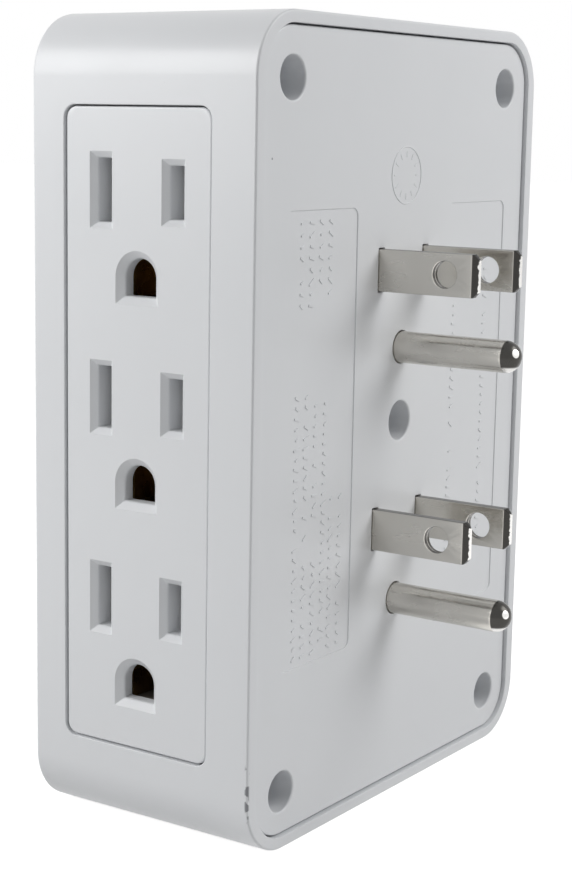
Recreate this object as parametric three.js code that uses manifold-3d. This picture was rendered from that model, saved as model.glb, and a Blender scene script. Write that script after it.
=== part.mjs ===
// Side outlet adapter: a wall tap that plugs into both outlets of a duplex receptacle
// and gives three grounded outlets on each of its two sides.
// Millimetres. +Z is up, +Y points to the wall (the blades and pins stand out that way),
// and the outlets face +X (right) and -X (left). The origin is the middle of the flat bottom.
import * as THREE from "three";
import { mergeVertices } from "three/addons/utils/BufferGeometryUtils.js";
import Module from "manifold-3d";

// Housing
const HOUSING_WIDTH = 79;
const HOUSING_DEPTH = 39;
const HOUSING_HEIGHT = 117.5;
const CORNER_RADIUS = 9;
const EDGE_BEVEL = 0.5;
const SIDE_WALL = 3;
const FRONT_WALL = 2.4;
const RIM_WIDTH = 2.2;
const RIM_HEIGHT = 1.75;
const BOSS_RADIUS = 3.5;
const PILOT_DEPTH = 16;

// Rear cover
const COVER_RECESS = 0.6;
const COVER_THICKNESS = 2;
const COVER_EDGE_GAP = 0.45;
const WELL_RADIUS = 3;
const WELL_DEPTH = 7.5;
const WELL_WALL = 1.1;
const WELL_FLOOR = 1.5;
const WELL_INSET_X = 9.2;
const WELL_INSET_Z = 8.6;
const WELL_SHIFT_Z = -0.35;
const LABEL_INNER_X = 13.1;
const LABEL_OUTER_X = 31.3;
const LABEL_BOTTOM = 25.8;
const LABEL_TOP = 90.8;
const LABEL_RADIUS = 1.3;
const LABEL_DEPTH = 0.15;

// Outlet faces
const WINDOW_WIDTH = 25.8;
const WINDOW_HEIGHT = 91.7;
const WINDOW_RADIUS = 1.9;
const WINDOW_SHIFT_Y = -0.7;
const WINDOW_GAP = 0.4;
const FACE_RECESS = 0.3;
const FACE_THICKNESS = 2.6;
const FACE_SKIRT = 1.4;
const FLANGE_LAP = 1.5;
const FLANGE_THICKNESS = 1.5;
const OUTLET_COUNT = 3;
const OUTLET_PITCH = 29.15;
const BLADE_LINE_RISE = 5;
const SLOT_SPACING = 12.7;
const GROUND_DROP = 11.9;
const SLOT_WIDTH = 2.3;
const NEUTRAL_SLOT_HEIGHT = 8.9;
const LINE_SLOT_HEIGHT = 7.3;
const GROUND_HOLE_WIDTH = 5.3;
const SLOT_LEAD = 0.8;
const SLOT_LEAD_DEPTH = 0.9;
const GROUND_LEAD = 1;
const GROUND_LEAD_DEPTH = 1;
const COLLAR_WALL = 0.8;
const NEUTRAL_COLLAR_DEPTH = 3.6;

// Blades and ground pins of the two plugs
const PLUG_PITCH = 38.9;
const PLUG_SHIFT_Z = 3.3;
const BLADE_SPACING = 12.7;
const BLADE_THICKNESS = 1.5;
const BLADE_WIDTH = 6.2;
const BLADE_LENGTH = 16.4;
const BLADE_TIP_THICKNESS = 0.5;
const BLADE_TIP_BEVEL = 1.1;
const BLADE_CORNER_CUT = 0.9;
const BLADE_HOLE_RADIUS = 1.98;
const BLADE_HOLE_FROM_TIP = 5.4;
const PIN_RADIUS = 2.39;
const PIN_LENGTH = 20;
const TENON_RADIUS = 1.2;
const TENON_HEAD_RADIUS = 2;
const TENON_HEAD_THICKNESS = 0.6;

// Metal inside
const FOOT_THICKNESS = 0.7;
const FOOT_LENGTH = 5;
const LINK_THICKNESS = 0.7;
const LINK_SPACING = 0.5;
const ARM_HEIGHT = 4;
const LINE_ARM_DROP = 8.75;
const GROUND_ARM_RISE = 7.25;
const NEUTRAL_ARM_RISE = 16.25;
const RING_WALL = 2.5;
const RIVET_RADIUS = 1;
const RIVET_HEAD_RADIUS = 1.7;
const RIVET_HEAD_THICKNESS = 0.6;
const STRIP_THICKNESS = 0.7;
const STRIP_WIDTH = 4;
const GROUND_STRIP_WIDTH = 6.6;
const STRIP_STEP = 2;
const CONTACT_DEPTH = 5.7;
const CONTACT_HEIGHT = 6;
const LEAF_THICKNESS = 0.5;
const LEAF_GRIP = 0.2;

// Insulators and screws
const TRAY_WALL = 1;
const HOLDER_THICKNESS = 1.2;
const HOLDER_MARGIN = 2;
const SCREW_RADIUS = 1.4;
const SCREW_HEAD_RADIUS = 2.7;
const SCREW_HEAD_THICKNESS = 1.7;
const SCREW_LENGTH = 15;
const RECESS_LENGTH = 3;
const RECESS_WIDTH = 0.7;
const RECESS_DEPTH = 0.9;

// Clearances
const CLEAR = 0.3;
const STACK_GAP = 0.1;
const PRONG_CLEAR = 0.35;

// Finishes
const COLOURS = {
  shell: { color: 0xeceef0, roughness: 0.35, metalness: 0 },
  insulator: { color: 0xc9c5ba, roughness: 0.6, metalness: 0 },
  nickel: { color: 0xb9b7b2, roughness: 0.25, metalness: 1 },
  brass: { color: 0xc09a4e, roughness: 0.35, metalness: 1 },
  steel: { color: 0x9da1a5, roughness: 0.4, metalness: 1 },
};

// Places worked out from the sizes above
const HALF_WIDTH = HOUSING_WIDTH / 2;
const MID_HEIGHT = HOUSING_HEIGHT / 2;
const REAR = HOUSING_DEPTH / 2;
const FRONT_INNER = FRONT_WALL - REAR;
const COVER_FACE = REAR - COVER_RECESS;
const COVER_INNER = COVER_FACE - COVER_THICKNESS;
const TUBE_RADIUS = WELL_RADIUS + WELL_WALL;
const TUBE_END = COVER_FACE - WELL_DEPTH - WELL_FLOOR;
const BOSS_END = TUBE_END - CLEAR;
const SHANK_HOLE_RADIUS = SCREW_RADIUS + CLEAR;

const FACE_FRONT = HALF_WIDTH - FACE_RECESS;
const FLANGE_FRONT = HALF_WIDTH - SIDE_WALL - CLEAR;
const FACE_BACK = FLANGE_FRONT - FLANGE_THICKNESS;
const POCKET_FLOOR = FACE_FRONT - FACE_THICKNESS;
const NEUTRAL_COLLAR_END = FACE_FRONT - NEUTRAL_COLLAR_DEPTH;
const LEAF_TIP = POCKET_FLOOR - CLEAR;
const BLADE_LEAF_TIP = FACE_BACK - CLEAR;
const FIRST_STRIP = LEAF_TIP - CONTACT_DEPTH;
const LAST_STRIP = FIRST_STRIP - 2 * STRIP_STEP - STRIP_THICKNESS;
const TRAY_FLOOR = LAST_STRIP - CLEAR;

const HOLDER_REAR = COVER_INNER - CLEAR;
const HOLDER_FRONT = HOLDER_REAR - HOLDER_THICKNESS;
const LINE_FOOT_FRONT = HOLDER_FRONT - CLEAR - FOOT_THICKNESS;
const LINE_LINK_REAR = LINE_FOOT_FRONT - STACK_GAP;
const NEUTRAL_LINK_REAR = LINE_LINK_REAR - LINK_THICKNESS - LINK_SPACING;
const NEUTRAL_FOOT_FRONT = NEUTRAL_LINK_REAR + STACK_GAP;
const GROUND_LINK_REAR = NEUTRAL_LINK_REAR - LINK_THICKNESS - LINK_SPACING;

const PLUG_HEIGHTS = {
  upper: MID_HEIGHT + PLUG_SHIFT_Z + PLUG_PITCH / 2,
  lower: MID_HEIGHT + PLUG_SHIFT_Z - PLUG_PITCH / 2,
};
const BLADE_SIDE = { line: 1, neutral: -1 };
const RIVET_X = (BLADE_SPACING + BLADE_THICKNESS + FOOT_LENGTH) / 2;
const FOOT_END = (BLADE_SPACING + BLADE_THICKNESS) / 2 + FOOT_LENGTH;
const WELL_TOP = HOUSING_HEIGHT - WELL_INSET_Z + WELL_SHIFT_Z;
const WELL_BOTTOM = WELL_INSET_Z + WELL_SHIFT_Z;
const SCREW_PLACES = {
  upper_right: [HALF_WIDTH - WELL_INSET_X, WELL_TOP],
  upper_left: [WELL_INSET_X - HALF_WIDTH, WELL_TOP],
  lower_right: [HALF_WIDTH - WELL_INSET_X, WELL_BOTTOM],
  lower_left: [WELL_INSET_X - HALF_WIDTH, WELL_BOTTOM],
  centre: [0, MID_HEIGHT + WELL_SHIFT_Z],
};
const SIDES = { right: 1, left: -1 };
const OUTLET_HEIGHTS = Array.from(
  { length: OUTLET_COUNT },
  (_, i) => MID_HEIGHT + ((OUTLET_COUNT - 1) / 2 - i) * OUTLET_PITCH + BLADE_LINE_RISE,
);
const CIRCLE_STEPS = 24;
const ARC_STEPS = 10;

const wasm = await Module();
wasm.setup();

// A closed three.js geometry as a solid that can be joined and cut.
function solid(geometry) {
  const bare = geometry.clone();
  bare.deleteAttribute("normal");
  bare.deleteAttribute("uv");
  const merged = mergeVertices(bare, 1e-4);
  return new wasm.Manifold(
    new wasm.Mesh({
      numProp: 3,
      vertProperties: new Float32Array(merged.attributes.position.array),
      triVerts: new Uint32Array(merged.index.array),
    }),
  );
}

// A finished solid as a geometry with flat shading.
function geometryOf(body) {
  const mesh = body.getMesh();
  const geometry = new THREE.BufferGeometry();
  geometry.setAttribute("position", new THREE.BufferAttribute(mesh.vertProperties, 3));
  geometry.setIndex(new THREE.BufferAttribute(mesh.triVerts, 1));
  const flat = geometry.toNonIndexed();
  flat.computeVertexNormals();
  return flat;
}

function join(solids) {
  return solids.reduce((sum, next) => sum.add(next));
}

function cut(body, tools) {
  return tools.reduce((left, tool) => left.subtract(tool), body);
}

function box([x0, x1], [y0, y1], [z0, z1]) {
  const geometry = new THREE.BoxGeometry(x1 - x0, y1 - y0, z1 - z0);
  geometry.translate((x0 + x1) / 2, (y0 + y1) / 2, (z0 + z1) / 2);
  return solid(geometry);
}

// The lowest and highest of two numbers given in any order, for boxes on either side.
function span(a, b) {
  return [Math.min(a, b), Math.max(a, b)];
}

function around(centre, size) {
  return [centre - size / 2, centre + size / 2];
}

function roundedRectangle([a0, a1], [b0, b1], radius) {
  const shape = new THREE.Shape();
  shape.moveTo(a0 + radius, b0);
  shape.lineTo(a1 - radius, b0);
  shape.absarc(a1 - radius, b0 + radius, radius, -Math.PI / 2, 0);
  shape.lineTo(a1, b1 - radius);
  shape.absarc(a1 - radius, b1 - radius, radius, 0, Math.PI / 2);
  shape.lineTo(a0 + radius, b1);
  shape.absarc(a0 + radius, b1 - radius, radius, Math.PI / 2, Math.PI);
  shape.lineTo(a0, b0 + radius);
  shape.absarc(a0 + radius, b0 + radius, radius, Math.PI, 1.5 * Math.PI);
  return shape;
}

// A shape drawn in X and Z, swept along Y from y0 to y1, with bevelled ends where asked.
function alongY(shape, [y0, y1], bevel = 0) {
  const geometry = new THREE.ExtrudeGeometry(shape, {
    depth: y1 - y0 - 2 * bevel,
    curveSegments: ARC_STEPS,
    bevelEnabled: bevel > 0,
    bevelThickness: bevel,
    bevelSize: bevel,
    bevelOffset: -bevel,
    bevelSegments: 2,
  });
  geometry.rotateX(Math.PI / 2);
  geometry.translate(0, y1 - bevel, 0);
  return solid(geometry);
}

const X_FROM_DEPTH = new THREE.Matrix4().makeBasis(
  new THREE.Vector3(0, 1, 0),
  new THREE.Vector3(0, 0, 1),
  new THREE.Vector3(1, 0, 0),
);

// A shape drawn in Y and Z, swept along X from x0 to x1.
function alongX(shape, [x0, x1]) {
  const geometry = new THREE.ExtrudeGeometry(shape, {
    depth: x1 - x0,
    curveSegments: ARC_STEPS,
    bevelEnabled: false,
  });
  geometry.applyMatrix4(X_FROM_DEPTH);
  geometry.translate(x0, 0, 0);
  return solid(geometry);
}

// A round bar along Y.
function rodY(radius, [y0, y1], x, z) {
  const geometry = new THREE.CylinderGeometry(radius, radius, y1 - y0, CIRCLE_STEPS);
  geometry.translate(x, (y0 + y1) / 2, z);
  return solid(geometry);
}

// A solid of revolution about Y: the profile is a list of [radius, y], from front to rear.
function turned(profile, x, z) {
  const points = profile.map(([radius, y]) => new THREE.Vector2(radius, y));
  const geometry = new THREE.LatheGeometry(points, CIRCLE_STEPS);
  geometry.translate(x, 0, z);
  return solid(geometry);
}

// A closed solid between two outlines of equal count, the first at x0 and the second at x1 > x0.
function loftAlongX(outline0, x0, outline1, x1) {
  const count = outline0.length;
  const at = (x) => (p) => [x, p.x, p.y];
  const positions = [...outline0.map(at(x0)), ...outline1.map(at(x1))].flat();
  const triangles = [];
  for (const [a, b, c] of THREE.ShapeUtils.triangulateShape(outline0, [])) {
    triangles.push(a, c, b);
    triangles.push(a + count, b + count, c + count);
  }
  for (let i = 0; i < count; i++) {
    const next = (i + 1) % count;
    triangles.push(i, next, next + count);
    triangles.push(i, next + count, i + count);
  }
  const geometry = new THREE.BufferGeometry();
  geometry.setAttribute("position", new THREE.Float32BufferAttribute(positions, 3));
  geometry.setIndex(triangles);
  return solid(geometry);
}

function rectangleOutline(y, z, width, height) {
  const [y0, y1] = around(y, width);
  const [z0, z1] = around(z, height);
  return [
    new THREE.Vector2(y0, z0),
    new THREE.Vector2(y1, z0),
    new THREE.Vector2(y1, z1),
    new THREE.Vector2(y0, z1),
  ];
}

// The outline of a ground hole: a round top on a square base, grown all round by the lead-in.
function archOutline(y, z, width, grow) {
  const radius = width / 2 + grow;
  const points = [new THREE.Vector2(y - radius, z - radius), new THREE.Vector2(y + radius, z - radius)];
  for (let i = 0; i <= ARC_STEPS; i++) {
    const angle = (Math.PI * i) / ARC_STEPS;
    points.push(new THREE.Vector2(y + radius * Math.cos(angle), z + radius * Math.sin(angle)));
  }
  return points;
}

// A hole through an outlet face, with its sloped lead-in at the front.
function leadInCutter(outlineOf, lead, depth) {
  const inner = outlineOf(0);
  const beyond = FACE_RECESS + CLEAR;
  const slope = lead / depth;
  return [
    loftAlongX(inner, FACE_BACK - CLEAR, inner, FACE_FRONT + beyond),
    loftAlongX(inner, FACE_FRONT - depth, outlineOf(lead + beyond * slope), FACE_FRONT + beyond),
  ];
}

// The two blade slots of an outlet: place, height, and how far back the collar behind it reaches.
const SLOTS = [
  [-SLOT_SPACING / 2, NEUTRAL_SLOT_HEIGHT, NEUTRAL_COLLAR_END],
  [SLOT_SPACING / 2, LINE_SLOT_HEIGHT, FACE_BACK],
];

function outletCutters(bladeLine) {
  const blades = SLOTS.flatMap(([y, height]) =>
    leadInCutter(
      (grow) => rectangleOutline(y, bladeLine, SLOT_WIDTH + 2 * grow, height + 2 * grow),
      SLOT_LEAD,
      SLOT_LEAD_DEPTH,
    ),
  );
  const ground = leadInCutter(
    (grow) => archOutline(0, bladeLine - GROUND_DROP, GROUND_HOLE_WIDTH, grow),
    GROUND_LEAD,
    GROUND_LEAD_DEPTH,
  );
  return [...blades, ...ground];
}

// The collars behind a face that guide the blades of a plug to their contacts.
function slotCollars(bladeLine) {
  return SLOTS.map(([y, height, end]) =>
    box(
      [end, POCKET_FLOOR + CLEAR],
      around(y, SLOT_WIDTH + 2 * COLLAR_WALL),
      around(bladeLine, height + 2 * COLLAR_WALL),
    ),
  );
}

function windowShape(centreY, grow) {
  return roundedRectangle(
    around(centreY, WINDOW_WIDTH + 2 * grow),
    around(MID_HEIGHT, WINDOW_HEIGHT + 2 * grow),
    WINDOW_RADIUS + grow,
  );
}

// A side's outlet face in its own frame, X outwards and Y measured from the window's middle:
// a thin plate with a skirt behind its edge and a flange that lies against the housing's wall.
function outletFace() {
  const plate = alongX(windowShape(0, -WINDOW_GAP), [FACE_BACK, FACE_FRONT]);
  const flange = alongX(windowShape(0, FLANGE_LAP), [FACE_BACK, FLANGE_FRONT]);
  const pocket = alongX(windowShape(0, -WINDOW_GAP - FACE_SKIRT), [FACE_BACK - CLEAR, POCKET_FLOOR]);
  const shell = plate.add(flange).subtract(pocket);
  const collared = join([shell, ...OUTLET_HEIGHTS.flatMap(slotCollars)]);
  return cut(collared, OUTLET_HEIGHTS.flatMap(outletCutters));
}

// The housing's outline seen from the rear, drawn in by one amount at the sides
// and by another at the top and bottom.
function bodyShape(insetX, insetZ = insetX) {
  return roundedRectangle(
    [insetX - HALF_WIDTH, HALF_WIDTH - insetX],
    [insetZ, HOUSING_HEIGHT - insetZ],
    CORNER_RADIUS - insetX,
  );
}

// One deep moulded shell: front, sides, top and bottom, two windows, and five screw bosses.
function housing() {
  const past = HALF_WIDTH + CLEAR;
  const outer = alongY(bodyShape(0), [-REAR, REAR], EDGE_BEVEL);
  const hollow = alongY(bodyShape(SIDE_WALL), [FRONT_INNER, REAR]);
  const coverSeat = alongY(bodyShape(RIM_WIDTH, RIM_HEIGHT), [COVER_INNER - CLEAR, REAR + CLEAR]);
  const windows = alongX(windowShape(WINDOW_SHIFT_Y, 0), [-past, past]);
  const places = Object.values(SCREW_PLACES);
  const bosses = places.map(([x, z]) =>
    rodY(BOSS_RADIUS, [FRONT_INNER - FRONT_WALL / 2, BOSS_END], x, z),
  );
  const pilots = places.map(([x, z]) =>
    rodY(SHANK_HOLE_RADIUS, [BOSS_END - PILOT_DEPTH, BOSS_END + CLEAR], x, z),
  );
  const shell = cut(outer, [hollow, coverSeat, windows]);
  return cut(join([shell, ...bosses]), pilots);
}

function bladePlaces() {
  return Object.values(PLUG_HEIGHTS).flatMap((z) =>
    Object.values(BLADE_SIDE).map((side) => [(side * BLADE_SPACING) / 2, z]),
  );
}

function bladeHoles([y0, y1]) {
  return bladePlaces().map(([x, z]) =>
    box(
      around(x, BLADE_THICKNESS + 2 * PRONG_CLEAR),
      [y0, y1],
      around(z, BLADE_WIDTH + 2 * PRONG_CLEAR),
    ),
  );
}

function pinHoles(depth) {
  return Object.values(PLUG_HEIGHTS).map((z) =>
    rodY(PIN_RADIUS + PRONG_CLEAR, depth, 0, z - GROUND_DROP),
  );
}

// The cover in the rear opening: screw wells, blade and pin holes and two shallow label fields.
function rearCover() {
  const through = [TUBE_END - CLEAR, COVER_FACE + CLEAR];
  const plate = alongY(
    bodyShape(RIM_WIDTH + COVER_EDGE_GAP, RIM_HEIGHT + COVER_EDGE_GAP),
    [COVER_INNER, COVER_FACE],
  );
  const places = Object.values(SCREW_PLACES);
  const tubes = places.map(([x, z]) =>
    rodY(TUBE_RADIUS, [TUBE_END, COVER_INNER + COVER_THICKNESS / 2], x, z),
  );
  const wells = places.map(([x, z]) =>
    rodY(WELL_RADIUS, [COVER_FACE - WELL_DEPTH, COVER_FACE + CLEAR], x, z),
  );
  const shanks = places.map(([x, z]) => rodY(SHANK_HOLE_RADIUS, through, x, z));
  const labels = Object.values(SIDES).map((side) =>
    alongY(
      roundedRectangle(
        span(side * LABEL_INNER_X, side * LABEL_OUTER_X),
        [LABEL_BOTTOM, LABEL_TOP],
        LABEL_RADIUS,
      ),
      [COVER_FACE - LABEL_DEPTH, COVER_FACE + CLEAR],
    ),
  );
  const cutters = [...wells, ...shanks, ...bladeHoles(through), ...pinHoles(through), ...labels];
  return cut(join([plate, ...tubes]), cutters);
}

// A flat blade with bevelled tip, cut corners and a hole, and a foot that is riveted to its link.
function blade(side, z, footFront) {
  const x = (side * BLADE_SPACING) / 2;
  const tip = COVER_FACE + BLADE_LENGTH;
  const half = BLADE_WIDTH / 2;
  const corner = half - BLADE_CORNER_CUT;
  const outline = new THREE.Shape([
    new THREE.Vector2(footFront, z - half),
    new THREE.Vector2(tip - BLADE_CORNER_CUT, z - half),
    new THREE.Vector2(tip, z - corner),
    new THREE.Vector2(tip, z + corner),
    new THREE.Vector2(tip - BLADE_CORNER_CUT, z + half),
    new THREE.Vector2(footFront, z + half),
  ]);
  const flat = alongX(outline, around(x, BLADE_THICKNESS));
  const edge = new THREE.Shape([
    new THREE.Vector2(x - BLADE_THICKNESS / 2, -footFront),
    new THREE.Vector2(x - BLADE_THICKNESS / 2, BLADE_TIP_BEVEL - tip),
    new THREE.Vector2(x - BLADE_TIP_THICKNESS / 2, -tip),
    new THREE.Vector2(x + BLADE_TIP_THICKNESS / 2, -tip),
    new THREE.Vector2(x + BLADE_THICKNESS / 2, BLADE_TIP_BEVEL - tip),
    new THREE.Vector2(x + BLADE_THICKNESS / 2, -footFront),
  ]);
  const wedge = new THREE.ExtrudeGeometry(edge, { depth: 2 * BLADE_WIDTH, bevelEnabled: false });
  wedge.rotateX(Math.PI);
  wedge.translate(0, 0, z + BLADE_WIDTH);
  const hole = new THREE.CylinderGeometry(
    BLADE_HOLE_RADIUS,
    BLADE_HOLE_RADIUS,
    2 * BLADE_THICKNESS,
    CIRCLE_STEPS,
  );
  hole.rotateZ(Math.PI / 2);
  hole.translate(x, tip - BLADE_HOLE_FROM_TIP, z);
  const foot = box(
    span(x, side * FOOT_END),
    [footFront, footFront + FOOT_THICKNESS],
    around(z, BLADE_WIDTH),
  );
  const rivetHole = rodY(
    RIVET_RADIUS + CLEAR,
    [footFront - CLEAR, footFront + FOOT_THICKNESS + CLEAR],
    side * RIVET_X,
    z,
  );
  const body = flat.intersect(solid(wedge)).subtract(solid(hole));
  return body.add(foot).subtract(rivetHole);
}

// A round ground pin with a domed end, peened through its link at the inner end.
function groundPin(z) {
  const tip = COVER_FACE + PIN_LENGTH;
  const linkFront = GROUND_LINK_REAR - LINK_THICKNESS;
  const headRear = linkFront - STACK_GAP;
  const headFront = headRear - TENON_HEAD_THICKNESS;
  const shoulder = GROUND_LINK_REAR + STACK_GAP;
  const profile = [
    [0, headFront],
    [TENON_HEAD_RADIUS, headFront],
    [TENON_HEAD_RADIUS, headRear],
    [TENON_RADIUS, headRear],
    [TENON_RADIUS, shoulder],
    [PIN_RADIUS, shoulder],
  ];
  const domeSteps = ARC_STEPS / 2;
  for (let i = 0; i < domeSteps; i++) {
    const angle = (Math.PI / 2) * (i / domeSteps);
    profile.push([PIN_RADIUS * Math.cos(angle), tip - PIN_RADIUS + PIN_RADIUS * Math.sin(angle)]);
  }
  profile.push([0, tip]);
  return turned(profile, 0, z);
}

// A rivet through a blade's foot and its link, headed on both ends.
function rivet(side, z, footFront) {
  const rear = footFront + FOOT_THICKNESS + STACK_GAP;
  const front = footFront - STACK_GAP - LINK_THICKNESS - STACK_GAP;
  const profile = [
    [0, front - RIVET_HEAD_THICKNESS],
    [RIVET_HEAD_RADIUS, front - RIVET_HEAD_THICKNESS],
    [RIVET_HEAD_RADIUS, front],
    [RIVET_RADIUS, front],
    [RIVET_RADIUS, rear],
    [RIVET_HEAD_RADIUS, rear],
    [RIVET_HEAD_RADIUS, rear + RIVET_HEAD_THICKNESS],
    [0, rear + RIVET_HEAD_THICKNESS],
  ];
  return turned(profile, side * RIVET_X, z);
}

// The three conductors: where each sits across a side, and where its link lies.
const CONDUCTORS = {
  line: { offset: SLOT_SPACING / 2, armZ: MID_HEIGHT - LINE_ARM_DROP, linkRear: LINE_LINK_REAR },
  ground: { offset: 0, armZ: MID_HEIGHT + GROUND_ARM_RISE, linkRear: GROUND_LINK_REAR },
  neutral: {
    offset: -SLOT_SPACING / 2,
    armZ: MID_HEIGHT + NEUTRAL_ARM_RISE,
    linkRear: NEUTRAL_LINK_REAR,
  },
};

// How deep a strip lies: the conductor nearest the wall is the outermost, so tails pass behind it.
function stripFront(side, conductor) {
  const level = 1 - side * Math.sign(CONDUCTORS[conductor].offset);
  return FIRST_STRIP - level * STRIP_STEP;
}

// A stamped brass strip with a pair of spring leaves at each outlet and a tail to its link.
function contactStrip(side, conductor) {
  const { offset, armZ, linkRear } = CONDUCTORS[conductor];
  const isGround = conductor === "ground";
  const width = isGround ? GROUND_STRIP_WIDTH : STRIP_WIDTH;
  const held = isGround ? PIN_RADIUS : BLADE_THICKNESS / 2;
  const y = WINDOW_SHIFT_Y + side * offset;
  const front = stripFront(side, conductor);
  const plateX = span(side * (front - STRIP_THICKNESS), side * front);
  const leafX = span(side * (front - STRIP_THICKNESS), side * (isGround ? LEAF_TIP : BLADE_LEAF_TIP));
  const heights = OUTLET_HEIGHTS.map((z) => (isGround ? z - GROUND_DROP : z));
  const reach = CONTACT_HEIGHT / 2;
  const plate = box(plateX, around(y, width), [Math.min(...heights) - reach, Math.max(...heights) + reach]);
  const leaves = heights.flatMap((z) =>
    [1, -1].map((way) => {
      const inner = y + way * (held + LEAF_GRIP);
      return box(leafX, span(inner, inner + way * LEAF_THICKNESS), around(z, CONTACT_HEIGHT));
    }),
  );
  const tail = box(plateX, [y, linkRear - LINK_THICKNESS - STACK_GAP], around(armZ, ARM_HEIGHT));
  return join([plate, ...leaves, tail]);
}

// The arm of a link, from the tail of the left strip to the tail of the right one.
function linkArm(conductor) {
  const { armZ, linkRear } = CONDUCTORS[conductor];
  const ends = [-stripFront(-1, conductor) - CLEAR, stripFront(1, conductor) + CLEAR];
  return box(ends, [linkRear - LINK_THICKNESS, linkRear], around(armZ, ARM_HEIGHT));
}

// A link that joins both blades of one kind to the strips of both sides.
function bladeLink(conductor) {
  const side = BLADE_SIDE[conductor];
  const { linkRear } = CONDUCTORS[conductor];
  const depth = [linkRear - LINK_THICKNESS, linkRear];
  const reach = BLADE_WIDTH / 2;
  const spine = box(
    span((side * (BLADE_SPACING - BLADE_THICKNESS)) / 2, side * FOOT_END),
    depth,
    [PLUG_HEIGHTS.lower - reach, PLUG_HEIGHTS.upper + reach],
  );
  const holes = Object.values(PLUG_HEIGHTS).map((z) =>
    rodY(RIVET_RADIUS + CLEAR, [depth[0] - CLEAR, depth[1] + CLEAR], side * RIVET_X, z),
  );
  return cut(spine.add(linkArm(conductor)), holes);
}

// The ground link: it passes round the centre screw and holds both pins.
function groundLink() {
  const ringRadius = TUBE_RADIUS + CLEAR + RING_WALL;
  const depth = [GROUND_LINK_REAR - LINK_THICKNESS, GROUND_LINK_REAR];
  const through = [depth[0] - CLEAR, depth[1] + CLEAR];
  const [screwX, screwZ] = SCREW_PLACES.centre;
  const spine = box([-PIN_RADIUS - RING_WALL, PIN_RADIUS + RING_WALL], depth, [
    PLUG_HEIGHTS.lower - GROUND_DROP - PIN_RADIUS - RING_WALL,
    PLUG_HEIGHTS.upper - GROUND_DROP + PIN_RADIUS + RING_WALL,
  ]);
  const ring = rodY(ringRadius, depth, screwX, screwZ);
  const eye = rodY(TUBE_RADIUS + CLEAR, through, screwX, screwZ);
  const holes = Object.values(PLUG_HEIGHTS).map((z) =>
    rodY(TENON_RADIUS + CLEAR, through, 0, z - GROUND_DROP),
  );
  return cut(join([spine, ring, linkArm("ground")]), [eye, ...holes]);
}

// The insulating tray behind an outlet face, open towards the face, notched for the three tails.
function contactTray(side) {
  const reach = SLOT_SPACING / 2 + STRIP_WIDTH / 2 + CLEAR;
  const y0 = WINDOW_SHIFT_Y - reach;
  const y1 = WINDOW_SHIFT_Y + reach;
  const low = Math.min(...OUTLET_HEIGHTS) - GROUND_DROP - CONTACT_HEIGHT / 2 - CLEAR;
  const collarReach = NEUTRAL_SLOT_HEIGHT / 2 + COLLAR_WALL;
  const high = Math.max(...OUTLET_HEIGHTS) + Math.max(CONTACT_HEIGHT / 2, collarReach) + CLEAR;
  const rim = side * LEAF_TIP;
  const outer = box(
    span(side * (TRAY_FLOOR - TRAY_WALL), rim),
    [y0 - TRAY_WALL, y1 + TRAY_WALL],
    [low - TRAY_WALL, high + TRAY_WALL],
  );
  const hollow = box(span(side * TRAY_FLOOR, rim + side * CLEAR), [y0, y1], [low, high]);
  const notches = Object.values(CONDUCTORS).map(({ armZ }) =>
    box(
      span(side * TRAY_FLOOR, rim + side * CLEAR),
      [y1 - CLEAR, y1 + TRAY_WALL + CLEAR],
      around(armZ, ARM_HEIGHT + 2 * CLEAR),
    ),
  );
  return cut(outer, [hollow, ...notches]);
}

// The insulating plate behind the cover that keeps the blades' feet down on their links.
function prongHolder() {
  const halfWidth = FOOT_END + HOLDER_MARGIN;
  const past = [HOLDER_FRONT - CLEAR, HOLDER_REAR + CLEAR];
  const [screwX, screwZ] = SCREW_PLACES.centre;
  const reach = BLADE_WIDTH / 2 + HOLDER_MARGIN;
  const plate = box([-halfWidth, halfWidth], [HOLDER_FRONT, HOLDER_REAR], [
    PLUG_HEIGHTS.lower - GROUND_DROP - reach,
    PLUG_HEIGHTS.upper + reach,
  ]);
  const rivetTop = NEUTRAL_FOOT_FRONT + FOOT_THICKNESS + STACK_GAP + RIVET_HEAD_THICKNESS;
  const outerFace = (BLADE_SPACING + BLADE_THICKNESS) / 2 + PRONG_CLEAR;
  const pads = Object.values(PLUG_HEIGHTS).map((z) =>
    box(
      [-FOOT_END, -outerFace],
      [rivetTop + CLEAR, HOLDER_FRONT + HOLDER_THICKNESS / 2],
      around(z, BLADE_WIDTH),
    ),
  );
  const rivetReliefs = Object.values(PLUG_HEIGHTS).map((z) =>
    rodY(RIVET_HEAD_RADIUS + CLEAR, past, RIVET_X, z),
  );
  const eye = rodY(TUBE_RADIUS + CLEAR, past, screwX, screwZ);
  const cutters = [...bladeHoles(past), ...pinHoles(past), ...rivetReliefs, eye];
  return cut(join([plate, ...pads]), cutters);
}

// A pan head screw with a cross recess, seated on the floor of its well.
function coverScrew([x, z]) {
  const seat = COVER_FACE - WELL_DEPTH + STACK_GAP;
  const top = seat + SCREW_HEAD_THICKNESS;
  const end = seat - SCREW_LENGTH;
  const body = turned(
    [
      [0, end],
      [SCREW_RADIUS, end + SCREW_RADIUS],
      [SCREW_RADIUS, seat],
      [SCREW_HEAD_RADIUS, seat],
      [SCREW_HEAD_RADIUS, top - SCREW_HEAD_THICKNESS / 2],
      [SCREW_HEAD_RADIUS - SCREW_HEAD_THICKNESS / 2, top],
      [0, top],
    ],
    x,
    z,
  );
  const depth = [top - RECESS_DEPTH, top + CLEAR];
  return cut(body, [
    box(around(x, RECESS_LENGTH), depth, around(z, RECESS_WIDTH)),
    box(around(x, RECESS_WIDTH), depth, around(z, RECESS_LENGTH)),
  ]);
}

const adapter = new THREE.Group();

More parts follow.
